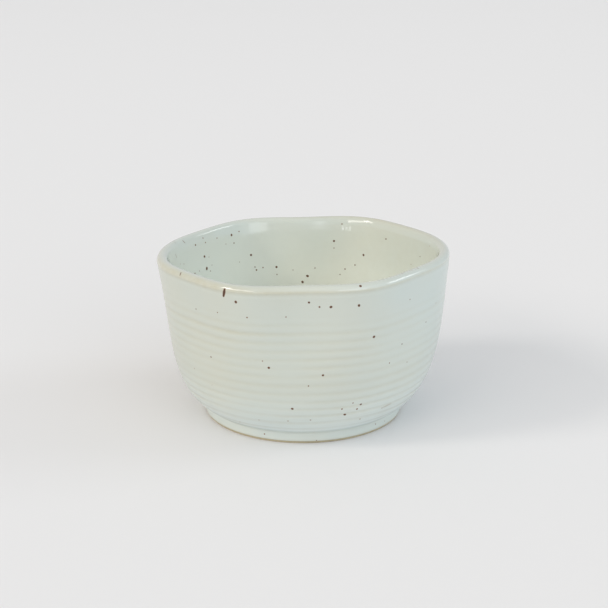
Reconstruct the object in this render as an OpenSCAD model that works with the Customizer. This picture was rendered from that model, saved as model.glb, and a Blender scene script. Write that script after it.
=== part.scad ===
// Hand-thrown stoneware ramekin with a soft six-cornered lip, a foot ring and a speckled glaze.
// All sizes are in millimetres. The bowl stands on z = 0 with its axis on Z.

/* [Bowl] */
// Height from the table to the mean top of the lip
bowl_h = 57.5; // [48:0.5:70]
// Mean width across the lip
lip_w = 97; // [90:0.5:110]
// Thickness of the rounded lip
lip_t = 3.8; // [3:0.1:5]
// Lean of the wall just inside the lip, in degrees from upright
lip_lean = 22; // [10:1:30]
// How far down that lean pulls the inside of the wall
lean_run = 10; // [6:0.5:14]
// Thickness of the clay floor
floor_t = 4.9; // [3.5:0.1:7]
// Width of the flat part of the floor inside
floor_w = 40; // [20:1:50]

/* [Wall curve] */
// Width of the wall where it leaves the foot
wall_foot_w = 70.4; // [69.8:0.2:74]
// Width that the low part of the wall is drawn out to
belly_w = 97.6; // [88:0.2:104]
// Height of the belly's pull
belly_h = 13.6; // [10:0.2:18]
// How far the belly's pull on the inside lies inside the outer one
belly_in = 2.1; // [1:0.1:4]
// Width that the upper part of the wall is drawn in to
waist_w = 90.8; // [84:0.2:98]
// Height of the waist's pull
waist_h = 33.5; // [28:0.5:38]

/* [Hand-made wobble] */
// Number of soft corners round the lip
lip_corners = 6; // [4:1:8]
// How far each corner stands out
corner_out = 1; // [0:0.1:1.6]
// How far the lip is drawn out sideways into an oval
oval_out = 0.7; // [0:0.1:1.5]
// How far the ends of the oval are blunted
blunt_out = 0.45; // [0:0.05:0.8]
// How far the lip strays from an even shape
stray_out = 0.3; // [0:0.05:0.6]
// How far the lip rises on its right and falls on its left
lip_tilt = 1; // [0:0.1:1.5]
// How far the belly sways to the right of the foot
belly_sway = 0.6; // [0:0.1:1]
// Height below which the bowl is truly round
wobble_from = 10; // [8:0.5:16]

/* [Foot] */
// Width of the foot ring over its glaze
foot_w = 69; // [62:0.2:69.6]
// Height of the foot ring
foot_h = 4.6; // [3.5:0.1:6]
// Thickness of the foot ring from inside to outside
foot_t = 5.2; // [4:0.1:8]
// Rounding of the foot ring's lower edges
foot_round = 0.3; // [0.2:0.1:0.6]

/* [Glaze] */
// Thickness of the glaze coats
glaze_t = 0.4; // [0.25:0.05:0.6]
// Height of the bare clay band at the bottom of the foot
bare_h = 0.8; // [0.7:0.1:1.5]
// Width of an iron speck
speck_w = 1; // [0.6:0.1:1.6]

/* [Hidden] */

// Facets round the bowl, and steps along each stretch of its profile
sides = 60;
wall_steps = 14;
lip_steps = 6;
inside_steps = 12;
ring_fn = 96;

// Large specks on the outside: angle round the bowl, and share of the way up the wall
outside_spots = [
    [-136, 0.87], [-129, 0.61], [-115, 0.95], [-103, 0.60], [-94, 0.33], [-88, 0.95], [-82, 0.56],
    [-79, 0.92], [-72, 0.25], [-69, 0.92], [-65, 0.32], [-62, 0.75], [-48, 0.67], [-31, 0.73]
];
// Large specks on the inside: angle, and share of the way from the lip down to the floor
inside_spots = [
    [20, 0.17], [46, 0.13], [60, 0.27], [75, 0.19], [89, 0.41], [91, 0.44], [105, 0.35],
    [117, 0.26], [126, 0.09], [146, 0.27], [147, 0.19]
];

// Radii and heights that several pieces share
foot_r = foot_w / 2;
foot_clay_r = foot_r - glaze_t;
underside_z = foot_h - glaze_t;
lip_r = lip_w / 2;
lip_z = bowl_h - lip_t / 2;
floor_z = foot_h + floor_t + glaze_t;

// Points on a cubic curve through its two ends, pulled towards its two handles
function bezier(c, t) =
    pow(1 - t, 3) * c[0] + 3 * t * pow(1 - t, 2) * c[1] + 3 * t * t * (1 - t) * c[2] + pow(t, 3) * c[3];
function curve_rows(c, steps) = [for (k = [0:steps]) bezier(c, k / steps)];

// The glazed profile as [radius, height], from the foot up over the lip and down to the floor
wall_curve = [
    [wall_foot_w / 2, underside_z], [belly_w / 2, belly_h], [waist_w / 2, waist_h], [lip_r, lip_z]
];
function on_lip(a) = [lip_r - lip_t / 2 + lip_t / 2 * cos(a), lip_z + lip_t / 2 * sin(a)];
lip_in = on_lip(180 - lip_lean);
inside_curve = [
    lip_in, lip_in - lean_run * [sin(lip_lean), cos(lip_lean)],
    [belly_w / 2 - belly_in, floor_z], [floor_w / 2, floor_z]
];
foot_rows = [[foot_r, bare_h], [foot_r, underside_z]];
wall_rows = curve_rows(wall_curve, wall_steps);
lip_rows = [for (k = [1:lip_steps - 1]) on_lip((180 - lip_lean) * k / lip_steps)];
inside_rows = curve_rows(inside_curve, inside_steps);
floor_rows = [[floor_w / 4, floor_z]];
glazed = concat(foot_rows, wall_rows, lip_rows, inside_rows, floor_rows);

// Row numbers where each stretch of the profile starts
wall_start = len(foot_rows);
lip_start = wall_start + wall_steps;
inside_start = lip_start + lip_steps;
last_row = len(glazed) - 1;

// The clay's profile: the glazed one moved in by the coat, square to it
function along(j) = glazed[min(j + 1, last_row)] - glazed[max(j - 1, wall_start)];
function outward(j) = let (d = along(j) / norm(along(j))) [d[1], -d[0]];
function clay_row(j) = glazed[j] - glaze_t * outward(j);
// At its lower edge the wall's clay ends on the flat underside
function clay_edge() =
    let (p = clay_row(wall_start), d = along(wall_start)) [p[0] + (foot_h - p[1]) * d[0] / d[1], foot_h];
// The coat's flats lie against the round foot ring, so its corners stand a little farther out
foot_corner_r = foot_clay_r / cos(180 / sides);
clay = [
    for (j = [0:last_row])
        j == 0 ? [foot_corner_r, bare_h]
        : j < wall_start ? [foot_corner_r, foot_h]
        : j == wall_start ? clay_edge()
        : clay_row(j)
];

// Share of the wobble at a height: none near the foot, all of it at the lip
function wobble(z) =
    let (s = max(0, min(1, (z - wobble_from) / (lip_z - wobble_from)))) s * s * (3 - 2 * s);
function sway(z) = belly_sway * sin(180 * max(0, min(1, (z - wobble_from) / (lip_z - wobble_from))));
// How far the lip stands out at an angle
function stand_out(a) =
    oval_out * cos(2 * a) + corner_out * cos(lip_corners * a)
    - blunt_out * cos((lip_corners + 2) * a) - stray_out * sin((lip_corners - 1) * a);
// A profile point carried round the bowl to an angle
function place(p, a) =
    let (w = wobble(p[1]), r = p[0] + w * stand_out(a))
    [r * cos(a) + sway(p[1]), r * sin(a), p[1] + w * lip_tilt * cos(a)];
function at(rows, j, i) = place(rows[j], i * 360 / sides);

// A speck is [row, column, centre across, centre up, half width across, half height up],
// with the last four in shares of its facet
function spot(p, start, steps) =
    let (
        a = p[0] < 0 ? p[0] + 360 : p[0] % 360,
        i = floor(a * sides / 360),
        j = start + floor(p[1] * steps),
        du = speck_w / 2 / norm(at(glazed, j, i + 1) - at(glazed, j, i)),
        dv = speck_w / 2 / norm(at(glazed, j + 1, i) - at(glazed, j, i)),
        u = a * sides / 360 - i,
        v = p[1] * steps - floor(p[1] * steps)
    )
    [j, i, max(du + 0.1, min(0.9 - du, u)), max(dv + 0.1, min(0.9 - dv, v)), du, dv];
// The half of the bowl that faces away repeats the half that shows, turned half round
function all_round(spots) = concat(spots, [for (p = spots) [p[0] + 180, p[1]]]);
outside_specks = [for (p = all_round(outside_spots)) spot(p, wall_start, wall_steps)];
inside_specks = [for (p = all_round(inside_spots)) spot(p, inside_start, inside_steps)];

// The eight corners of a speck on one of the two profiles
function rim(rows, s) = [
    for (k = [0:7])
        let (
            u = s[2] + s[4] * cos(45 * k),
            v = s[3] + s[5] * sin(45 * k),
            low = at(rows, s[0], s[1]) * (1 - u) + at(rows, s[0], s[1] + 1) * u,
            high = at(rows, s[0] + 1, s[1]) * (1 - u) + at(rows, s[0] + 1, s[1] + 1) * u
        )
        low * (1 - v) + high * v
];

// Points of a skin: its rings, then the corners of its specks
function skin_points(rows, first, last, specks) = concat(
    [for (j = [first:last]) for (i = [0:sides - 1]) at(rows, j, i)],
    [for (s = specks) each rim(rows, s)]
);
function skin_size(first, last, specks) = (last - first + 1) * sides + 8 * len(specks);
function turned(faces, back) = back ? [for (f = faces) [for (k = [len(f) - 1:-1:0]) f[k]]] : faces;
function has_speck(specks, j, i) = len([for (s = specks) if (s[0] == j && s[1] == i) 1]) > 0;
function corner(first, base, j, i) = base + (j - first) * sides + i % sides;
// The facet round a speck, in triangles from its four corners to the speck's eight
function speck_facet(a, b, c, d, o) = concat(
    [[b, o, c], [c, o + 2, d], [d, o + 4, a], [a, o + 6, b]],
    [[c, o + 1, o + 2], [c, o, o + 1], [d, o + 3, o + 4], [d, o + 2, o + 3]],
    [[a, o + 5, o + 6], [a, o + 4, o + 5], [b, o + 7, o], [b, o + 6, o + 7]]
);
// Faces of a skin seen from its glazed side; back turns them round
function skin_faces(first, last, specks, base, back = false) = turned(concat(
    [
        for (j = [first:last - 1])
            for (i = [0:sides - 1])
                if (!has_speck(specks, j, i))
                    let (
                        a = corner(first, base, j, i),
                        b = corner(first, base, j, i + 1),
                        c = corner(first, base, j + 1, i + 1),
                        d = corner(first, base, j + 1, i)
                    )
                    each [[a, d, c], [a, c, b]]
    ],
    [
        for (k = [0:len(specks) - 1])
            let (j = specks[k][0], i = specks[k][1], o = base + (last - first + 1) * sides + 8 * k)
            each speck_facet(
                corner(first, base, j, i), corner(first, base, j, i + 1),
                corner(first, base, j + 1, i + 1), corner(first, base, j + 1, i), o
            )
    ]
), back);
// Walls between two rings of points that start at base a and base b
function band(a, b, count) = [
    for (k = [0:count - 1])
        let (n = (k + 1) % count)
        each [[a + k, a + n, b + n], [a + k, b + n, b + k]]
];
function fan(ring, pole) = [for (i = [0:sides - 1]) [ring + i, pole, ring + (i + 1) % sides]];
function octagon(o) = [for (k = [7:-1:0]) o + k];

// One closed clay solid: wall, lip, inside and floor over a flat underside
module bowl_body() {
    specks = concat(outside_specks, inside_specks);
    size = skin_size(wall_start, last_row, specks);
    first_rim = size - 8 * len(specks);
    color("tan") polyhedron(
        points = concat(
            skin_points(clay, wall_start, last_row, specks), [[0, 0, clay[last_row][1]], [0, 0, foot_h]]
        ),
        faces = concat(
            skin_faces(wall_start, last_row, specks, 0),
            [for (k = [0:len(specks) - 1]) octagon(first_rim + 8 * k)],
            fan((last_row - wall_start) * sides, size),
            turned(fan(0, size + 1), true)
        ),
        convexity = 6
    );
}

// A plain turned ring under the bowl, with a flat standing face
module foot_ring() {
    inner_r = foot_clay_r - foot_t;
    color("peru") rotate_extrude($fn = ring_fn) difference() {
        translate([inner_r, 0]) square([foot_t, foot_h]);
        for (side = [0, 1])
            translate([inner_r + side * foot_t, 0])
                mirror([side, 0])
                difference() {
                    square(2 * foot_round, center = true);
                    translate([foot_round, foot_round]) circle(foot_round, $fn = 32);
                }
    }
}

// A coat between the clay's profile and the glazed one, pierced by specks
module coat(first, last, specks, closed) {
    size = skin_size(first, last, specks);
    rings = (last - first) * sides;
    rims = (last - first + 1) * sides;
    poles = [[0, 0, glazed[last][1]], [0, 0, clay[last][1]]];
    polyhedron(
        points = concat(
            skin_points(glazed, first, last, specks),
            skin_points(clay, first, last, specks),
            closed ? poles : []
        ),
        faces = concat(
            skin_faces(first, last, specks, 0),
            skin_faces(first, last, specks, size, true),
            band(0, size, sides),
            closed ? fan(rings, 2 * size) : turned(band(rings, size + rings, sides), true),
            closed ? turned(fan(size + rings, 2 * size + 1), true) : [],
            [for (k = [0:len(specks) - 1]) each turned(band(rims + 8 * k, size + rims + 8 * k, 8), true)]
        ),
        convexity = 6
    );
}

// From the foot's bare band up to the outer edge of the lip
module outside_glaze() {
    color("honeydew") coat(0, lip_start, outside_specks, false);
}

// Over the lip, down the inside and across the floor
module inside_glaze() {
    color("azure") coat(lip_start, last_row, inside_specks, true);
}

// Iron spots that have burnt through the coats, each a plug as thick as the glaze
module iron_specks() {
    specks = concat(outside_specks, inside_specks);
    color("saddlebrown") polyhedron(
        points = [for (s = specks) each concat(rim(glazed, s), rim(clay, s))],
        faces = [
            for (k = [0:len(specks) - 1])
                each concat(
                    [octagon(16 * k)],
                    turned([octagon(16 * k + 8)], true),
                    band(16 * k, 16 * k + 8, 8)
                )
        ],
        convexity = 6
    );
}

bowl_body();
foot_ring();
outside_glaze();
inside_glaze();
iron_specks();
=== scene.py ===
import math
import random

import bpy
import numpy as np
from mathutils import Matrix, Vector
from mathutils.bvhtree import BVHTree


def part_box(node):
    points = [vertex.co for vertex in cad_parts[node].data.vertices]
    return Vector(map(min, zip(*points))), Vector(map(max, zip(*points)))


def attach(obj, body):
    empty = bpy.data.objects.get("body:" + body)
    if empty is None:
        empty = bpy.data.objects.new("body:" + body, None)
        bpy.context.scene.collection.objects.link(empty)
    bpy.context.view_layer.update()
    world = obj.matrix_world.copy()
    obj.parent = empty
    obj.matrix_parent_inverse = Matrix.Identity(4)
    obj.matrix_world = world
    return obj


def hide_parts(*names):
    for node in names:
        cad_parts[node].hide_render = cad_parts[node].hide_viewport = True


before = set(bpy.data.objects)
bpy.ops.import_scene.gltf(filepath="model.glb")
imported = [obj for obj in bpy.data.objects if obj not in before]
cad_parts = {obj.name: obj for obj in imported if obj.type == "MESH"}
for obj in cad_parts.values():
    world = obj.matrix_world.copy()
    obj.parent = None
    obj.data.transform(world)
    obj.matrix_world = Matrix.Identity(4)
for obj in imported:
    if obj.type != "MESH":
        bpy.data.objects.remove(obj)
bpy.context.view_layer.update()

# Sizes of the bowl in millimetres, as the solids have them
MM = 0.001
BOWL_H = 57.5
LIP_R = 48.5
LIP_T = 3.8
LIP_Z = BOWL_H - LIP_T / 2
LIP_LEAN = 22.0
LEAN_RUN = 10.0
WALL_FOOT_R = 35.2
BELLY = (48.8, 13.6)
BELLY_IN = 2.1
WAIST = (45.4, 33.5)
FLOOR_T = 4.9
FLOOR_R = 20.0
GLAZE_T = 0.4
FOOT_CLAY_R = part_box("foot_ring")[1][0] / MM
FOOT_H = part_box("foot_ring")[1][2] / MM
FOOT_T = 5.2
FOOT_ROUND = 0.3
FOOT_R = FOOT_CLAY_R + GLAZE_T
BARE_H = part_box("outside_glaze")[0][2] / MM
UNDERSIDE_Z = FOOT_H - GLAZE_T
FLOOR_Z = FOOT_H + FLOOR_T + GLAZE_T

# The hand-made wobble of the lip
LIP_CORNERS = 6
CORNER_OUT = 1.0
OVAL_OUT = 0.7
BLUNT_OUT = 0.45
STRAY_OUT = 0.3
LIP_TILT = 1.0
BELLY_SWAY = 0.6
WOBBLE_FROM = 10.0
# The finished surface lies this far inside the solids' widest points, and its lip is this share as high
HAIR = 0.03
LIP_SHARE = 0.98
# The glaze's rounded lower edge, and how far the groove above the foot reaches down the foot and up the wall
GLAZE_EDGE = 0.25
GROOVE_DROP = 0.8
GROOVE_WALL_ROW = 8

# Throwing rings: one spiral groove that climbs as it turns
RING_PITCH = 2.9
RING_START = 10.05
RING_START_ANGLE = math.radians(-75.5)
RING_DEPTH = 0.09
RING_TOP = (41.5, 50.0)
# How the groove wanders and how its depth varies: amount, waves round the bowl, change with height, start
RING_WANDER = [(0.07, 0, 0.35, 1.0), (0.05, 2, 0.21, 0.0)]
RING_UNEVEN = [(0.22, 2, 0.13, 0.6), (0.16, 5, -0.31, 0.0)]
RING_MEAN = 0.72
# Heights where the thrower pressed harder: height, spread, how much deeper
HARD_PRESSED = [(41.2, 2.0, 0.6), (12.6, 1.6, 0.4)]
# The lowest rings: deeper, further apart, with a fine line between; each pair is where that fades out
LOW_DEEPER = 0.55
LOW_RINGS = (14.0, 26.0)
WIDE_SHIFT = 0.2
WIDE_TURNS = (8.0, 16.0)
FINE_SHARE = 0.25
FINE_PLACE = 0.46
FINE_LINES = (10.0, 24.0)
# Places where a thumb has smoothed the rings away: angle in degrees, height, strength
PRESSED_FLATS = [(-98, 29.5, 0.85), (-52, 37.5, 0.7), (62, 24.0, 0.8), (140, 36.0, 0.8)]
FLAT_WIDE = math.radians(9.0)
FLAT_HIGH = 4.0
# The dent under the lip, the swirl on the floor inside and the turning rings underneath
LIP_DENT = 0.08
SWIRL_PITCH = 4.2
SWIRL_DEPTH = 0.14
TURNING_PITCH = 2.3
TURNING_DEPTH = 0.16

# Outside glaze painted paler: low on the wall, part pooled glaze and part painted light; painted cool light
# at the right; and a painted band of light above the foot
LOW_POOL_AND_LIGHT_RUN = (6.0, 25.0)
PAINTED_COOL_RIGHT = 0.45
POOL_AND_LIGHT_ON_FOOT = 0.6
PAINTED_LIGHT_SHARE = 0.7
PAINTED_LIGHT_UP = 1.8
PAINTED_LIGHT_SPREAD = 2.6
# The inside glaze is paler the further down it is, part pooled glaze and part painted light; on one side,
# above these heights, warm light is painted on as tan
DEEP_POOL_AND_LIGHT_RUN = 20.0
PAINTED_WARM_SHARE = 0.85
PAINTED_WARM_RISE = (12.0, 25.0)
TAN_LIP = 1.1
# Sides of the bowl as angles, 0 to the right and -90 to the front: where the tan shows most, where cool
# light is painted outside and where warm light is painted inside
TAN_SIDE = math.radians(-125)
PAINTED_COOL_SIDE = math.radians(-10)
PAINTED_WARM_SIDE = math.radians(20)
TAN_LIP_FRONT = math.radians(-140)
TAN_LIP_BACK = math.radians(45)

# Steps round the bowl and along each stretch of a section, for the coats and for the clay under them
ROUND_STEPS = 216
EDGE_ROWS = 4
FOOT_ROWS = 8
GROOVE_ROWS = 16
WALL_ROWS = 180
LIP_ROWS = 36
INSIDE_ROWS = 70
FLOOR_ROWS = 16
CLAY_ROUND_STEPS = 120
CLAY_UNDER_ROWS = 100
CLAY_WALL_ROWS = 40
CLAY_LIP_ROWS = 12
CLAY_INSIDE_ROWS = 30
CLAY_FLOOR_ROWS = 4
FOOT_ROUND_STEPS = 160

# The photograph's frame and its camera
PHOTO_SIDE = 608
FOCAL_PIXELS = 1270.0
SENSOR_MM = 36.0
CAMERA_PLACE = (0.00029, -0.41883, 0.17017)
CAMERA_PITCH = 17.6

# Large iron spots, each with a twin half round the bowl: pixel of the photograph and width in millimetres
LARGE_SPOTS = [
    (196, 309, 0.5), (211, 357, 0.55), (235.8, 302, 1.0), (268.8, 367.8, 0.9), (292.3, 408.8, 0.9),
    (309, 302.5, 0.8), (323, 375.3, 0.85), (331, 307, 0.9), (344.8, 414.5, 0.9), (359, 305.5, 0.9),
    (360.8, 404.3, 0.9), (374, 336.8, 0.95), (402, 344, 0.55), (426, 322, 0.5), (420, 256.5, 0.5),
    (386, 239, 0.65), (363.5, 255, 0.9), (334, 241, 0.85), (307.5, 276, 0.95), (302.5, 282, 0.95),
    (276.5, 267, 0.9), (251, 255, 0.9), (231.5, 235, 0.9), (206.8, 268.5, 1.15), (204.5, 256.5, 0.9),
]
# Small spots: pixel, width in millimetres, darkness
SMALL_SPOTS = [
    (217.5, 312.5, 0.5, 0.7), (247, 317.5, 0.6, 0.7), (286, 317, 0.5, 0.7), (319.5, 307, 0.7, 0.75),
    (410, 299.5, 0.5, 0.7), (436, 303, 0.5, 0.6), (407, 362, 0.5, 0.6), (389.5, 363, 0.55, 0.7),
    (194.5, 368.5, 0.5, 0.55), (262.5, 361, 0.5, 0.6), (308.5, 386, 0.55, 0.75), (353, 403, 0.6, 0.6),
    (357, 409, 0.75, 0.85), (342, 409, 0.65, 0.75), (360, 419, 0.6, 0.7), (382, 408, 0.5, 0.55),
    (240, 422, 0.65, 0.75), (259, 420, 0.5, 0.55), (288, 421, 0.55, 0.6), (310.5, 420, 0.55, 0.65),
    (264.5, 434, 0.6, 0.7), (314, 432, 0.5, 0.65), (316.5, 440.5, 0.45, 0.6), (375.5, 424, 0.5, 0.65),
    (384.5, 421, 0.45, 0.5), (422, 379, 0.5, 0.6), (432.5, 354, 0.5, 0.5), (176, 339, 0.5, 0.5),
    (212, 385, 0.4, 0.4), (360.5, 286, 0.95, 1.0), (239, 231.5, 0.6, 0.6), (203, 238, 0.6, 0.7),
    (195.5, 245, 0.75, 0.9), (205.5, 242.5, 0.6, 0.7), (217, 238, 0.6, 0.65), (226, 244, 0.5, 0.45),
    (234, 243, 0.65, 0.65), (209, 257, 0.5, 0.4), (180.5, 264, 0.5, 0.45), (184, 264, 0.55, 0.55),
    (212, 265, 0.5, 0.4), (210.5, 271, 0.55, 0.55), (199.5, 271, 0.5, 0.45), (195, 273.5, 0.75, 0.75),
    (239.5, 262, 0.45, 0.35), (255, 267, 0.6, 0.55), (256.5, 270, 0.7, 0.75), (263, 267.5, 0.6, 0.65),
    (277, 274.5, 0.55, 0.5), (293, 270, 0.5, 0.4), (315, 268, 0.6, 0.5), (334, 248, 0.6, 0.5),
    (342, 224, 0.65, 0.6), (355, 265, 0.65, 0.65), (345, 269, 0.65, 0.65), (340, 274.5, 0.6, 0.45),
    (429.5, 246, 0.55, 0.5), (411, 264.5, 0.5, 0.45),
]
# Spots drawn out into dashes: the pixels of their two ends, width in millimetres, darkness
DASHES = [
    ((224.6, 289.2), (223.5, 296.0), 1.1, 1.0), ((181.0, 272.6), (180.0, 275.2), 0.55, 0.95),
    ((173.4, 241.2), (175.4, 242.8), 0.35, 0.7), ((182.6, 240.4), (185.0, 243.0), 0.4, 0.8),
    ((175.6, 254.4), (176.6, 257.4), 0.45, 0.7), ((401.6, 273.0), (403.2, 273.6), 0.4, 0.6),
    ((410.2, 269.8), (412.0, 270.4), 0.4, 0.65), ((416.0, 267.6), (418.2, 268.6), 0.45, 0.75),
    ((383.5, 407.2), (391.0, 403.6), 0.7, 0.22),
]
# How many spots lie on the parts that the photograph doesn't show
HIDDEN_OUTSIDE = 42
HIDDEN_INSIDE = 34
HIDDEN_FLOOR = 20
SPOT_SEED = 11
# How far out the floor's spots reach, and, in metres, where the rays that place hidden spots start
INSIDE_REACH = 36.0
BESIDE = 0.2
ABOVE = 0.1


def smooth(x, low, high):
    """0 below low, 1 above high, and a soft step between."""
    s = np.clip((x - low) / (high - low), 0.0, 1.0)
    return s * s * (3.0 - 2.0 * s)


def hump(x, middle, width):
    """1 at the middle, falling away softly on both sides."""
    return np.exp(-(((x - middle) / width) ** 2))


def furrow(turn):
    """1 at each whole turn and 0 halfway between."""
    return 0.5 + 0.5 * np.cos(2 * math.pi * turn)


def waves(z, angle, table):
    """Slow waves round and up the bowl, added up."""
    return sum(amount * np.sin(times * angle + climb * z + start) for amount, times, climb, start in table)


def curve_rows(curve, steps):
    """Points along a cubic curve from its first point to its last, pulled by the two between."""
    t = np.linspace(0.0, 1.0, steps + 1)[:, None]
    a, b, c, d = (np.array(p, float) for p in curve)
    return a * (1 - t) ** 3 + 3 * b * t * (1 - t) ** 2 + 3 * c * t ** 2 * (1 - t) + d * t ** 3


def line_rows(start, end, steps):
    """Evenly spaced points on a straight stretch."""
    t = np.linspace(0.0, 1.0, steps + 1)[:, None]
    return np.array(start, float) * (1 - t) + np.array(end, float) * t


def arc_rows(centre, radius, first, last, steps):
    """Points on an arc, with its angles in degrees from outwards towards up."""
    a = np.radians(np.linspace(first, last, steps + 1))
    return np.stack([centre[0] + radius * np.cos(a), centre[1] + radius * np.sin(a)], axis=1)


def joined(*stretches):
    """Stretches of a section as one list of points, with no point twice."""
    rows = [stretches[0]]
    rows += [s[1:] if np.allclose(s[0], rows[-1][-1]) else s for s in stretches[1:]]
    return np.concatenate(rows)


LIP_CENTRE = (LIP_R - LIP_T / 2, LIP_Z)
LEAN_OUT = math.sin(math.radians(LIP_LEAN))
LEAN_UP = math.cos(math.radians(LIP_LEAN))
LIP_IN = (LIP_CENTRE[0] - LIP_T / 2 * LEAN_UP, LIP_CENTRE[1] + LIP_T / 2 * LEAN_OUT)
WALL_CURVE = [(WALL_FOOT_R, UNDERSIDE_Z), BELLY, WAIST, (LIP_R, LIP_Z)]
INSIDE_CURVE = [
    LIP_IN, (LIP_IN[0] - LEAN_RUN * LEAN_OUT, LIP_IN[1] - LEAN_RUN * LEAN_UP),
    (BELLY[0] - BELLY_IN, FLOOR_Z), (FLOOR_R, FLOOR_Z),
]


def outside_section():
    """Glazed foot, the soft groove above it and the wall up to the lip."""
    edge = arc_rows((FOOT_R - GLAZE_EDGE, BARE_H + GLAZE_EDGE), GLAZE_EDGE, -90, 0, EDGE_ROWS)
    foot = line_rows(edge[-1], (FOOT_R, UNDERSIDE_Z - GROOVE_DROP), FOOT_ROWS)
    wall = curve_rows(WALL_CURVE, WALL_ROWS)
    groove = curve_rows([foot[-1], (FOOT_R, UNDERSIDE_Z), wall[1], wall[GROOVE_WALL_ROW]], GROOVE_ROWS)
    return joined(edge, foot, groove, wall[GROOVE_WALL_ROW:])


def inside_section():
    """Over the lip from its outer edge, down the inside and across the floor to the middle."""
    lip = arc_rows(LIP_CENTRE, LIP_T / 2, 0, 180 - LIP_LEAN, LIP_ROWS)
    inside = curve_rows(INSIDE_CURVE, INSIDE_ROWS)
    return joined(lip, inside, line_rows((FLOOR_R, FLOOR_Z), (0, FLOOR_Z), FLOOR_ROWS))


def clay_section():
    """The clay under the glaze: the underside, the wall, the lip, the inside and the floor."""
    lip = arc_rows(LIP_CENTRE, LIP_T / 2 - GLAZE_T, 0, 180 - LIP_LEAN, CLAY_LIP_ROWS)
    wall = curve_rows(WALL_CURVE, CLAY_WALL_ROWS)[1:] - (GLAZE_T, 0)
    share = np.linspace(0, 1, CLAY_INSIDE_ROWS + 1)[:, None]
    under_glaze = (1 - share) * (LEAN_UP, -LEAN_OUT) - share * (0, 1)
    inside = curve_rows(INSIDE_CURVE, CLAY_INSIDE_ROWS) + GLAZE_T * under_glaze
    under = line_rows((0, FOOT_H), (WALL_FOOT_R - 0.5, FOOT_H), CLAY_UNDER_ROWS)
    floor = line_rows(inside[-1], (0, inside[-1][1]), CLAY_FLOOR_ROWS)
    return joined(under, wall[:-1], lip, inside[1:], floor)


def draw_section(name, rows):
    """A section drawn from one point by extruding it along the rows, in the plane of X and Z."""
    bpy.ops.object.select_all(action="DESELECT")
    bpy.ops.mesh.primitive_plane_add(size=MM, location=(0, 0, 0))
    piece = bpy.context.object
    piece.name = name
    piece.data.name = name
    bpy.ops.object.mode_set(mode="EDIT")
    bpy.context.tool_settings.mesh_select_mode = (True, False, False)
    bpy.ops.mesh.select_all(action="SELECT")
    bpy.ops.mesh.merge(type="CENTER")
    points = [Vector((r * MM, 0, z * MM)) for r, z in rows]
    bpy.ops.transform.translate(value=points[0])
    for here, there in zip(points, points[1:]):
        bpy.ops.mesh.extrude_vertices_move(TRANSFORM_OT_translate={"value": there - here})
    return piece


def spin_section(piece, steps=ROUND_STEPS):
    """The drawn section turned once round the bowl's axis, with its seam and poles closed."""
    bpy.ops.mesh.select_all(action="SELECT")
    bpy.ops.mesh.spin(steps=steps, angle=2 * math.pi, center=(0, 0, 0), axis=(0, 0, 1))
    bpy.ops.mesh.select_all(action="SELECT")
    bpy.ops.mesh.remove_doubles(threshold=0.005 * MM)
    bpy.ops.mesh.normals_make_consistent(inside=False)
    bpy.ops.object.mode_set(mode="OBJECT")
    return piece


def points_of(piece):
    """The vertices of a piece in millimetres, and their normals."""
    count = len(piece.data.vertices)
    places = np.empty(count * 3)
    normals = np.empty(count * 3)
    piece.data.vertices.foreach_get("co", places)
    piece.data.vertices.foreach_get("normal", normals)
    return places.reshape(-1, 3) / MM, normals.reshape(-1, 3)


def set_points(piece, places):
    piece.data.vertices.foreach_set("co", (places * MM).ravel())
    piece.data.update()


def set_mask(piece, name, values):
    """A number for each vertex that the finish reads."""
    layer = piece.data.attributes.new(name, "FLOAT", "POINT")
    layer.data.foreach_set("value", np.asarray(values, np.float32))


def ring_shape(z, angle):
    """Depth share of the throwing rings, 0 on the ridges and 1 at the bottom of a deep groove."""
    turn = (z - RING_START) / RING_PITCH - (angle - RING_START_ANGLE) / (2 * math.pi)
    turn = turn + waves(z, angle, RING_WANDER) + WIDE_SHIFT * (1 - smooth(z, *WIDE_TURNS))
    groove = furrow(turn) ** 1.6
    fine = FINE_SHARE * furrow(turn + FINE_PLACE) ** 5 * (1 - smooth(z, *FINE_LINES))
    deeper = 1 + LOW_DEEPER * (1 - smooth(z, *LOW_RINGS))
    for height, spread, more in HARD_PRESSED:
        deeper = deeper + more * hump(z, height, spread)
    uneven = RING_MEAN + waves(z, angle, RING_UNEVEN)
    band = (1 - smooth(z, *RING_TOP)) * smooth(z, UNDERSIDE_Z + 0.6, UNDERSIDE_Z + 2.5)
    for at, height, strength in PRESSED_FLATS:
        away = np.angle(np.exp(1j * (angle - math.radians(at)))) / FLAT_WIDE
        band = band * (1 - strength * np.exp(-away ** 2 - ((z - height) / FLAT_HIGH) ** 2))
    return np.maximum(groove, fine) * uneven * band * deeper


def wobble(places):
    """A truly round bowl given its six soft corners, its oval mouth, its tilt and its sway."""
    x, y, z = places.T
    angle = np.arctan2(y, x)
    share = np.clip((z - WOBBLE_FROM) / (LIP_Z - WOBBLE_FROM), 0, 1)
    w = share * share * (3 - 2 * share)
    far = np.hypot(x, y)
    out = OVAL_OUT * np.cos(2 * angle) + CORNER_OUT * np.cos(LIP_CORNERS * angle)
    out -= BLUNT_OUT * np.cos((LIP_CORNERS + 2) * angle) + STRAY_OUT * np.sin((LIP_CORNERS - 1) * angle)
    r = far + w * out * np.clip(far / FLOOR_R, 0, 1)
    sway = BELLY_SWAY * np.sin(math.pi * share)
    r = r - HAIR * w
    z = np.minimum(z, LIP_Z) + LIP_SHARE * np.maximum(z - LIP_Z, 0)
    return np.stack([r * np.cos(angle) + sway, r * np.sin(angle), z + w * LIP_TILT * np.cos(angle)], axis=1)


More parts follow.
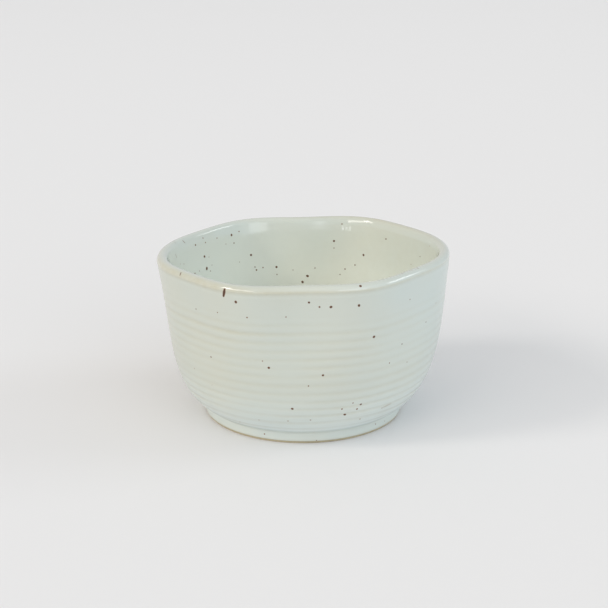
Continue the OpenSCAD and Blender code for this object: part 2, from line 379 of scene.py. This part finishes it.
def thicken(piece, depth):
    """A skin given its thickness inwards."""
    wall = piece.modifiers.new("coat thickness", "SOLIDIFY")
    wall.thickness = depth * MM
    wall.offset = -1
    wall.use_even_offset = False
    bpy.context.view_layer.objects.active = piece
    bpy.ops.object.modifier_apply(modifier=wall.name)


def soften(piece, degrees):
    bpy.ops.object.select_all(action="DESELECT")
    piece.select_set(True)
    bpy.context.view_layer.objects.active = piece
    bpy.ops.object.shade_smooth_by_angle(angle=math.radians(degrees))


def front_share(angle):
    """1 round the front and left of the bowl, less at the right."""
    return 0.62 + 0.38 * np.cos(angle - TAN_SIDE)


def towards(angle, side):
    """1 on one side of the bowl, falling to 0 a quarter of the way round."""
    return np.clip(np.cos(angle - side), 0, 1)


def throw_outside():
    """The outside coat: its rings, its masks for the finish, its wobble and its thickness."""
    piece = spin_section(draw_section("outside_coat", outside_section()))
    places, normals = points_of(piece)
    z = places[:, 2]
    angle = np.arctan2(places[:, 1], places[:, 0])
    rings = ring_shape(z, angle)
    under_lip = hump(z, LIP_Z, 0.75) * front_share(angle)
    # Painted shade with tan: the dark line in the groove above the foot
    groove_shade_and_tan = hump(z, UNDERSIDE_Z + 0.1, 0.45)
    bottom = hump(z, BARE_H, 0.5)
    dip = RING_DEPTH * rings + LIP_DENT * hump(z, LIP_Z - 1.0, 0.5)
    set_points(piece, wobble(places - normals * dip[:, None]))
    set_mask(piece, "valley", np.clip(rings * (0.55 + 0.45 * front_share(angle)), 0, 1.6))
    set_mask(piece, "edge", np.clip(under_lip + 0.12 * groove_shade_and_tan + 0.8 * bottom, 0, 1))
    on_wall = smooth(z, UNDERSIDE_Z - 0.3, UNDERSIDE_Z + 0.3)
    # Paler low on the wall, part pooled glaze and part painted light, and painted cool light on the right
    # side
    pool_and_painted_light = np.clip(1 - smooth(z, *LOW_POOL_AND_LIGHT_RUN) + PAINTED_COOL_RIGHT * towards(angle, PAINTED_COOL_SIDE), 0, 1)
    # Painted light: a paler band on the wall just above the foot, where it lies in shade
    painted_light_above_foot = PAINTED_LIGHT_SHARE * hump(z, UNDERSIDE_Z + PAINTED_LIGHT_UP, PAINTED_LIGHT_SPREAD) * on_wall
    set_mask(piece, "pool_and_painted_light", pool_and_painted_light * (POOL_AND_LIGHT_ON_FOOT + (1 - POOL_AND_LIGHT_ON_FOOT) * on_wall) + painted_light_above_foot)
    thicken(piece, GLAZE_T)
    soften(piece, 50)
    return piece


def throw_inside():
    """The inside coat over the lip, with a swirl on the floor and tan places on the lip."""
    piece = spin_section(draw_section("inside_coat", inside_section()))
    places, normals = points_of(piece)
    x, y, z = places.T
    far = np.hypot(x, y)
    angle = np.arctan2(y, x)
    lip_turn = np.arctan2(z - LIP_Z, far - LIP_CENTRE[0])
    on_lip = (far > LIP_CENTRE[0]) & (z > LIP_Z - 0.01)
    top = z > LIP_Z + 0.3
    edge = hump(lip_turn, 0.0, 0.28) * front_share(angle) * on_lip
    face = TAN_LIP * hump(lip_turn, 0.6, 0.6) * towards(angle, TAN_LIP_FRONT) ** 4 * on_lip
    face = face + TAN_LIP * hump(lip_turn, 1.7, 0.7) * towards(angle, TAN_LIP_BACK) ** 2 * top
    swirl = furrow(far / SWIRL_PITCH - angle / (2 * math.pi))
    low = (1 - smooth(z, FLOOR_Z, FLOOR_Z + 5.0)) * smooth(far, 1.0, 5.0)
    dip = SWIRL_DEPTH * swirl * low
    set_points(piece, wobble(places - normals * dip[:, None]))
    # Painted warm light: tan on the inside wall at the right, which faces the warm lamps
    painted_warm_light = PAINTED_WARM_SHARE * towards(angle, PAINTED_WARM_SIDE) * smooth(z, *PAINTED_WARM_RISE) * (z < LIP_Z - 1.0)
    set_mask(piece, "valley", 0.5 * swirl * low + painted_warm_light)
    set_mask(piece, "edge", np.clip(edge + face, 0, 1))
    # Paler further down: part pooled glaze, part painted light against the shade deep in the bowl
    set_mask(piece, "pool_and_painted_light", np.clip((BOWL_H - z) / DEEP_POOL_AND_LIGHT_RUN, 0, 1) ** 0.7)
    thicken(piece, GLAZE_T)
    soften(piece, 50)
    return piece


def throw_clay():
    """The clay bowl under the coats, with the same rings and wobble, and turning rings underneath."""
    piece = spin_section(draw_section("clay_bowl", clay_section()), CLAY_ROUND_STEPS)
    places, normals = points_of(piece)
    x, y, z = places.T
    far = np.hypot(x, y)
    angle = np.arctan2(y, x)
    under = (z < FOOT_H + 0.05) & (far < FOOT_CLAY_R - FOOT_T)
    turn = far / TURNING_PITCH + angle / (2 * math.pi)
    dip = TURNING_DEPTH * furrow(turn) * smooth(far, 1.0, 6.0) * under
    outer = (normals[:, 2] < 0.9) & (far > WALL_FOOT_R) & (z < LIP_Z)
    dip = dip + RING_DEPTH * ring_shape(z, angle) * outer
    set_points(piece, wobble(places - normals * dip[:, None]))
    soften(piece, 40)
    return piece


def turn_foot_ring():
    """The foot ring of bare clay, with its lower edges rounded."""
    inner = FOOT_CLAY_R - FOOT_T
    low = arc_rows((FOOT_CLAY_R - FOOT_ROUND, FOOT_ROUND), FOOT_ROUND, 0, -90, 6)
    low_in = arc_rows((inner + FOOT_ROUND, FOOT_ROUND), FOOT_ROUND, -90, -180, 6)
    rows = joined(
        line_rows((inner, FOOT_H), (FOOT_CLAY_R, FOOT_H), 2), line_rows((FOOT_CLAY_R, FOOT_H), low[0], 6),
        low, line_rows(low[-1], low_in[0], 8), low_in, line_rows(low_in[-1], (inner, FOOT_H), 6),
    )
    piece = spin_section(draw_section("foot_clay_ring", rows), FOOT_ROUND_STEPS)
    soften(piece, 40)
    return piece


outside = throw_outside()
inside = throw_inside()
clay = throw_clay()
foot = turn_foot_ring()


def surface_of(*skins):
    """What a spot can sit on: the coats' own faces."""
    places = []
    faces = []
    for skin in skins:
        start = len(places)
        places += [v.co.copy() for v in skin.data.vertices]
        faces += [[start + i for i in p.vertices] for p in skin.data.polygons]
    return BVHTree.FromPolygons(places, faces)


CAMERA_TURN = Matrix.Rotation(math.radians(90 - CAMERA_PITCH), 3, "X")
CAMERA_EYE = Vector(CAMERA_PLACE)
glazed = surface_of(outside, inside)


def behind_pixel(x, y):
    """The place on the glaze that shows at a pixel of the photograph, and which way it faces."""
    across = (x - PHOTO_SIDE / 2) / FOCAL_PIXELS
    up = (PHOTO_SIDE / 2 - y) / FOCAL_PIXELS
    ray = CAMERA_TURN @ Vector((across, up, -1))
    place, normal, _, _ = glazed.ray_cast(CAMERA_EYE, ray.normalized())
    return place, normal


def shows(place):
    """Whether the camera sees a place on the glaze."""
    way = place - CAMERA_EYE
    hit, _, _, _ = glazed.ray_cast(CAMERA_EYE, way.normalized())
    return (hit - CAMERA_EYE).length > way.length - 0.5 * MM


def speck_shape():
    """One iron bead: a flat lens of a few dozen faces."""
    bpy.ops.object.select_all(action="DESELECT")
    bpy.ops.mesh.primitive_uv_sphere_add(segments=10, ring_count=4, radius=1.0, location=(0, 0, 0))
    bead = bpy.context.object
    points = [v.co.copy() for v in bead.data.vertices]
    faces = [list(p.vertices) for p in bead.data.polygons]
    bpy.data.objects.remove(bead)
    return points, faces


BEAD_POINTS, BEAD_FACES = speck_shape()
BEAD_RISE = 0.04


def bead_on(bank, place, normal, width, dark, stretch=1.0, lean=0.0):
    """A bead laid on the glaze, following its curve, added to a bank of points, faces and shades."""
    up = Vector((0, 0, 1)) - normal * normal.z
    if up.length < 0.2:
        up = Vector((0, 1, 0)) - normal * normal.y
    up.normalize()
    side = up.cross(normal)
    start = len(bank["points"])
    for p in BEAD_POINTS:
        across = p.x * math.cos(lean) - p.y * stretch * math.sin(lean)
        along = p.x * math.sin(lean) + p.y * stretch * math.cos(lean)
        flat = place + (side * across + up * along) * (width / 2 * MM)
        near, faces_to, _, _ = glazed.find_nearest(flat)
        bank["points"].append(near + faces_to * (p.z * BEAD_RISE * MM))
        bank["dark"].append(dark * max(0.0, 1 - 0.7 * (p.x * p.x + p.y * p.y)))
    bank["faces"] += [[start + i for i in f] for f in BEAD_FACES]


def half_round(place):
    """The place on the glaze that lies half round the bowl."""
    near, normal, _, _ = glazed.find_nearest(Vector((-place.x, -place.y, place.z)))
    return near, normal


def hidden_places(count, draw, chance):
    """Places on the glaze that the camera doesn't see, drawn one by one."""
    found = []
    while len(found) < count:
        start, way = draw(chance)
        place, normal, _, _ = glazed.ray_cast(start, way)
        if place is not None and not shows(place):
            found.append((place, normal))
    return found


def from_outside(chance):
    a = chance.uniform(0, 2 * math.pi)
    z = chance.uniform(2.0, LIP_Z - 1.0) * MM
    way = Vector((math.cos(a), math.sin(a), 0))
    return way * BESIDE + Vector((0, 0, z)), -way


def from_axis(chance):
    a = chance.uniform(0, 2 * math.pi)
    z = chance.uniform(FLOOR_Z + 4.0, LIP_Z - 1.0) * MM
    return Vector((0, 0, z)), Vector((math.cos(a), math.sin(a), 0))


def from_above(chance):
    a = chance.uniform(0, 2 * math.pi)
    r = INSIDE_REACH * math.sqrt(chance.random()) * MM
    return Vector((r * math.cos(a), r * math.sin(a), ABOVE)), Vector((0, 0, -1))


def lay_specks():
    """All iron spots as one piece: those that show, twins of the large ones and those drawn by chance."""
    bank = {"points": [], "faces": [], "dark": []}
    chance = random.Random(SPOT_SEED)
    for x, y, width in LARGE_SPOTS:
        place, normal = behind_pixel(x, y)
        shape = {"stretch": chance.uniform(0.9, 1.25), "lean": chance.uniform(-1.2, 1.2)}
        bead_on(bank, place, normal, width, 1.0, **shape)
        bead_on(bank, *half_round(place), width, 1.0, **shape)
    for x, y, width, dark in SMALL_SPOTS:
        bead_on(bank, *behind_pixel(x, y), width, dark)
    for first, last, width, dark in DASHES:
        steps = max(3, int(math.dist(first, last) * 1.5))
        for k in range(steps):
            t = k / (steps - 1)
            spot = (first[0] * (1 - t) + last[0] * t, first[1] * (1 - t) + last[1] * t)
            bead_on(bank, *behind_pixel(*spot), width * (0.75 + 0.25 * math.sin(math.pi * t)), dark)
    hidden = ((HIDDEN_OUTSIDE, from_outside), (HIDDEN_INSIDE, from_axis), (HIDDEN_FLOOR, from_above))
    for count, draw in hidden:
        for place, normal in hidden_places(count, draw, chance):
            bead_on(bank, place, normal, chance.uniform(0.4, 0.7), chance.uniform(0.4, 0.85))
    mesh = bpy.data.meshes.new("iron_spots")
    mesh.from_pydata(bank["points"], [], bank["faces"])
    piece = bpy.data.objects.new("iron_spots", mesh)
    bpy.context.collection.objects.link(piece)
    set_mask(piece, "iron", bank["dark"])
    soften(piece, 80)
    return piece


specks = lay_specks()


def glaze_tint():
    """Shared by every glazed surface: cloudy pale glaze that breaks to tan where the glaze thins, and where
    painted warm light and painted shade are laid on.
    """
    group = bpy.data.node_groups.new("glaze_tint", "ShaderNodeTree")
    face = group.interface
    for name, kind in (("Pale", "Color"), ("Cloud", "Color"), ("Tan", "Color"), ("Tan_share", "Float")):
        face.new_socket(name, in_out="INPUT", socket_type="NodeSocket" + kind)
    face.new_socket("Colour", in_out="OUTPUT", socket_type="NodeSocketColor")
    nodes, links = group.nodes, group.links
    given = nodes.new("NodeGroupInput")
    made = nodes.new("NodeGroupOutput")
    where = nodes.new("ShaderNodeTexCoord")
    cloud = nodes.new("ShaderNodeTexNoise")
    cloud.inputs["Scale"].default_value = 26.0
    cloud.inputs["Detail"].default_value = 3.0
    fine = nodes.new("ShaderNodeTexNoise")
    fine.inputs["Scale"].default_value = 420.0
    fine.inputs["Detail"].default_value = 4.0
    for texture in (cloud, fine):
        links.new(where.outputs["Object"], texture.inputs["Vector"])
    drift = nodes.new("ShaderNodeMapRange")
    drift.inputs["From Min"].default_value = 0.35
    drift.inputs["From Max"].default_value = 0.65
    links.new(cloud.outputs["Fac"], drift.inputs["Value"])
    body = nodes.new("ShaderNodeMix")
    body.data_type = "RGBA"
    links.new(drift.outputs["Result"], body.inputs["Factor"])
    links.new(given.outputs["Pale"], body.inputs["A"])
    links.new(given.outputs["Cloud"], body.inputs["B"])
    patchy = nodes.new("ShaderNodeMapRange")
    patchy.inputs["From Min"].default_value = 0.3
    patchy.inputs["From Max"].default_value = 0.7
    patchy.inputs["To Min"].default_value = 0.6
    patchy.inputs["To Max"].default_value = 1.0
    links.new(fine.outputs["Fac"], patchy.inputs["Value"])
    tan_amount = nodes.new("ShaderNodeMath")
    tan_amount.operation = "MULTIPLY"
    links.new(given.outputs["Tan_share"], tan_amount.inputs[0])
    links.new(patchy.outputs["Result"], tan_amount.inputs[1])
    broken = nodes.new("ShaderNodeMix")
    broken.data_type = "RGBA"
    links.new(tan_amount.outputs["Value"], broken.inputs["Factor"])
    links.new(body.outputs["Result"], broken.inputs["A"])
    links.new(given.outputs["Tan"], broken.inputs["B"])
    links.new(broken.outputs["Result"], made.inputs["Colour"])
    return group


GLAZE = glaze_tint()
# Each glaze as it lies on the wall and the lip, and the paler shades where it pools and where light is
# painted on; two shades drift into each other
WALL_PALE = (0.537, 0.571, 0.519, 1)
WALL_CLOUD = (0.553, 0.571, 0.502, 1)
# Paler, cooler shades for the outside where the glaze pools and where light is painted on
THICK_AND_LIT_PALE = (0.61, 0.672, 0.65, 1)
THICK_AND_LIT_CLOUD = (0.63, 0.672, 0.63, 1)
# Paler shades for the inside where the glaze pools and where light is painted on
DEEP_AND_LIT_PALE = (0.72, 0.755, 0.69, 1)
DEEP_AND_LIT_CLOUD = (0.74, 0.755, 0.67, 1)
TAN = (0.47, 0.42, 0.27, 1)
RUST = (0.20, 0.095, 0.045, 1)
IRON = (0.035, 0.013, 0.008, 1)
CLAY_DARK = (0.36, 0.31, 0.20, 1)
CLAY_PALE = (0.52, 0.45, 0.31, 1)


def mask_input(nodes, name):
    reader = nodes.new("ShaderNodeAttribute")
    reader.attribute_name = name
    return reader.outputs["Fac"]


def tint_in(nodes):
    tint = nodes.new("ShaderNodeGroup")
    tint.node_tree = GLAZE
    tint.inputs["Pale"].default_value = WALL_PALE
    tint.inputs["Cloud"].default_value = WALL_CLOUD
    tint.inputs["Tan"].default_value = TAN
    return tint


def paler_where_pooled_and_lit(nodes, links, plain_colour, pooled_and_lit_colour, socket):
    """One glaze colour that goes over to another where the coat pools and where light is painted on."""
    change = nodes.new("ShaderNodeMix")
    change.data_type = "RGBA"
    change.clamp_factor = False
    change.inputs["A"].default_value = plain_colour
    change.inputs["B"].default_value = pooled_and_lit_colour
    links.new(mask_input(nodes, "pool_and_painted_light"), change.inputs["Factor"])
    links.new(change.outputs["Result"], socket)


def glaze_finish(name, pooled_and_lit_pale, pooled_and_lit_cloud, roughness, valley_share, edge_share, glass):
    """A glaze that pales where it pools and where light is painted on, and shows tan in its rings, along its
    edges and where warm light and shade are painted.
    """
    finish = bpy.data.materials.new(name)
    finish.use_nodes = True
    nodes, links = finish.node_tree.nodes, finish.node_tree.links
    shader = nodes["Principled BSDF"]
    tint = tint_in(nodes)
    paler_where_pooled_and_lit(nodes, links, WALL_PALE, pooled_and_lit_pale, tint.inputs["Pale"])
    paler_where_pooled_and_lit(nodes, links, WALL_CLOUD, pooled_and_lit_cloud, tint.inputs["Cloud"])
    valley = nodes.new("ShaderNodeMath")
    valley.operation = "MULTIPLY"
    valley.inputs[1].default_value = valley_share
    links.new(mask_input(nodes, "valley"), valley.inputs[0])
    tan_amount = nodes.new("ShaderNodeMath")
    tan_amount.operation = "MULTIPLY_ADD"
    tan_amount.inputs[1].default_value = edge_share
    links.new(mask_input(nodes, "edge"), tan_amount.inputs[0])
    links.new(valley.outputs["Value"], tan_amount.inputs[2])
    links.new(tan_amount.outputs["Value"], tint.inputs["Tan_share"])
    links.new(tint.outputs["Colour"], shader.inputs["Base Color"])
    shader.inputs["Roughness"].default_value = roughness
    shader.inputs["Coat Weight"].default_value = glass
    shader.inputs["Coat Roughness"].default_value = 0.04
    return finish


def iron_finish():
    """Glaze that burns from rust to iron towards the middle of each spot."""
    finish = bpy.data.materials.new("iron_in_glaze")
    finish.use_nodes = True
    nodes, links = finish.node_tree.nodes, finish.node_tree.links
    shader = nodes["Principled BSDF"]
    tint = tint_in(nodes)
    iron = mask_input(nodes, "iron")
    below = tint.outputs["Colour"]
    for shade, start, end in ((RUST, 0.0, 0.55), (IRON, 0.45, 1.0)):
        amount = nodes.new("ShaderNodeMapRange")
        amount.inputs["From Min"].default_value = start
        amount.inputs["From Max"].default_value = end
        links.new(iron, amount.inputs["Value"])
        burnt = nodes.new("ShaderNodeMix")
        burnt.data_type = "RGBA"
        burnt.inputs["B"].default_value = shade
        links.new(amount.outputs["Result"], burnt.inputs["Factor"])
        links.new(below, burnt.inputs["A"])
        below = burnt.outputs["Result"]
    links.new(below, shader.inputs["Base Color"])
    shader.inputs["Roughness"].default_value = 0.3
    return finish


def clay_finish():
    finish = bpy.data.materials.new("bare_stoneware")
    finish.use_nodes = True
    nodes, links = finish.node_tree.nodes, finish.node_tree.links
    shader = nodes["Principled BSDF"]
    where = nodes.new("ShaderNodeTexCoord")
    grain = nodes.new("ShaderNodeTexNoise")
    grain.inputs["Scale"].default_value = 900.0
    grain.inputs["Detail"].default_value = 6.0
    links.new(where.outputs["Object"], grain.inputs["Vector"])
    colour = nodes.new("ShaderNodeMix")
    colour.data_type = "RGBA"
    colour.inputs["A"].default_value = CLAY_DARK
    colour.inputs["B"].default_value = CLAY_PALE
    links.new(grain.outputs["Fac"], colour.inputs["Factor"])
    links.new(colour.outputs["Result"], shader.inputs["Base Color"])
    shader.inputs["Roughness"].default_value = 0.85
    bump = nodes.new("ShaderNodeBump")
    bump.inputs["Strength"].default_value = 0.4
    bump.inputs["Distance"].default_value = 0.1 * MM
    links.new(grain.outputs["Fac"], bump.inputs["Height"])
    links.new(bump.outputs["Normal"], shader.inputs["Normal"])
    return finish


def dress(piece, finish, node):
    piece.data.materials.clear()
    piece.data.materials.append(finish)
    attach(piece, "root")
    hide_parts(node)


stoneware = clay_finish()
outside_satin = glaze_finish(
    "outside_satin_glaze", THICK_AND_LIT_PALE, THICK_AND_LIT_CLOUD,
    roughness=0.24, valley_share=0.20, edge_share=0.42, glass=0.0,
)
inside_gloss = glaze_finish(
    "inside_gloss_glaze", DEEP_AND_LIT_PALE, DEEP_AND_LIT_CLOUD,
    roughness=0.10, valley_share=0.20, edge_share=0.50, glass=0.6,
)
dress(outside, outside_satin, "outside_glaze")
dress(inside, inside_gloss, "inside_glaze")
dress(specks, iron_finish(), "iron_specks")
dress(clay, stoneware, "bowl_body")
dress(foot, stoneware, "foot_ring")


STUDIO_SIDE = 16.0
STUDIO_PAINT = (0.785, 0.772, 0.77, 1)


def lay_floor():
    bpy.ops.object.select_all(action="DESELECT")
    bpy.ops.mesh.primitive_plane_add(size=STUDIO_SIDE, location=(0, 0, 0))
    floor = bpy.context.object
    floor.name = "studio_floor"
    paint = bpy.data.materials.new("pale_floor")
    paint.use_nodes = True
    shader = paint.node_tree.nodes["Principled BSDF"]
    shader.inputs["Base Color"].default_value = STUDIO_PAINT
    shader.inputs["Roughness"].default_value = 0.9
    shader.inputs["Specular IOR Level"].default_value = 0.1
    floor.data.materials.append(paint)


# The room's light: even all round, a little less in front of the bowl, warmer on the left than on the right
LEFT_LIGHT = (1.03, 1.0, 0.95)
RIGHT_LIGHT = (0.95, 1.0, 1.05)
EVEN_LIGHT = 0.68
FRONT_LIGHT = 0.63
# Lamps point at the upper part of the bowl
LAMP_AIM = Vector((0, 0, 0.05))
SUN_FAR = 2.0
WINDOW_FAR = 9.0
# Suns: name, azimuth, elevation, colour, strength, spread in degrees
SUNS = [
    ("key", 198, 36.5, (1.0, 0.97, 0.92), 0.52, 14),
    ("cool_bounce", -30, 16, (0.45, 0.74, 1.0), 0.46, 80),
    ("front_fill", -90, 52, (1.0, 1.0, 1.0), 0.14, 60),
    ("front_low", -55, 14, (0.97, 0.99, 1.0), 0.26, 60),
]
# Windows: name, azimuth, elevation, width and height in degrees, colour, power in watts
WINDOWS = [
    ("right_window", 7, 28, 24, 14, (0.94, 0.985, 1.0), 100),
    ("left_window", -142, 28, 50, 13, (1.0, 0.94, 0.88), 225),
    ("front_window", -64.5, 17, 35, 22, (0.93, 0.945, 1.0), 72),
    ("small_pane", -104, 5, 3.2, 8, (0.90, 0.96, 1.0), 6),
    ("small_pane", -110.5, 5, 3.2, 8, (0.90, 0.96, 1.0), 6),
    ("small_pane", -117, 5, 3.2, 8, (0.90, 0.96, 1.0), 6),
]


def far_place(azimuth, elevation, distance):
    """A place seen from the bowl: azimuth 0 is to its right, 90 behind it and 180 to its left."""
    a, e = math.radians(azimuth), math.radians(elevation)
    return Vector((math.cos(e) * math.cos(a), math.cos(e) * math.sin(a), math.sin(e))) * distance


def light_room():
    world = bpy.context.scene.world or bpy.data.worlds.new("studio")
    bpy.context.scene.world = world
    world.use_nodes = True
    nodes, links = world.node_tree.nodes, world.node_tree.links
    back = nodes["Background"]
    where = nodes.new("ShaderNodeTexCoord")
    parts = nodes.new("ShaderNodeSeparateXYZ")
    links.new(where.outputs["Generated"], parts.inputs["Vector"])
    side = nodes.new("ShaderNodeMapRange")
    side.inputs["From Min"].default_value = -0.9
    side.inputs["From Max"].default_value = 0.9
    links.new(parts.outputs["X"], side.inputs["Value"])
    colour = nodes.new("ShaderNodeMix")
    colour.data_type = "RGBA"
    colour.inputs["A"].default_value = (*LEFT_LIGHT, 1)
    colour.inputs["B"].default_value = (*RIGHT_LIGHT, 1)
    links.new(side.outputs["Result"], colour.inputs["Factor"])
    links.new(colour.outputs["Result"], back.inputs["Color"])
    depth = nodes.new("ShaderNodeMapRange")
    depth.inputs["From Max"].default_value = -1.0
    depth.inputs["To Min"].default_value = EVEN_LIGHT
    depth.inputs["To Max"].default_value = FRONT_LIGHT
    links.new(parts.outputs["Y"], depth.inputs["Value"])
    links.new(depth.outputs["Result"], back.inputs["Strength"])


def hang_lamp(name, kind, azimuth, elevation, distance, colour, **values):
    data = bpy.data.lights.new(name, kind)
    data.color = colour
    for key, value in values.items():
        setattr(data, key, value)
    lamp = bpy.data.objects.new(name, data)
    bpy.context.collection.objects.link(lamp)
    lamp.location = far_place(azimuth, elevation, distance)
    lamp.rotation_euler = (LAMP_AIM - lamp.location).to_track_quat("-Z", "Y").to_euler()


def hang_window(name, azimuth, elevation, wide, high, colour, energy):
    """A bright pane far off, with its width and height as degrees seen from the bowl."""
    across, tall = (2 * WINDOW_FAR * math.tan(math.radians(a / 2)) for a in (wide, high))
    shape = {"shape": "RECTANGLE", "size": across, "size_y": tall}
    hang_lamp(name, "AREA", azimuth, elevation, WINDOW_FAR, colour, energy=energy, **shape)


def set_lamps():
    for name, azimuth, elevation, colour, strength, spread in SUNS:
        shine = {"energy": strength, "angle": math.radians(spread)}
        hang_lamp(name, "SUN", azimuth, elevation, SUN_FAR, colour, **shine)
    for window in WINDOWS:
        hang_window(*window)


def set_camera():
    data = bpy.data.cameras.new("camera")
    data.sensor_width = SENSOR_MM
    data.lens = FOCAL_PIXELS / PHOTO_SIDE * SENSOR_MM
    camera = bpy.data.objects.new("camera", data)
    bpy.context.collection.objects.link(camera)
    camera.location = CAMERA_PLACE
    camera.rotation_euler = (math.radians(90 - CAMERA_PITCH), 0, 0)
    bpy.context.scene.camera = camera


lay_floor()
light_room()
set_lamps()
set_camera()
bpy.context.scene.view_settings.view_transform = "Standard"
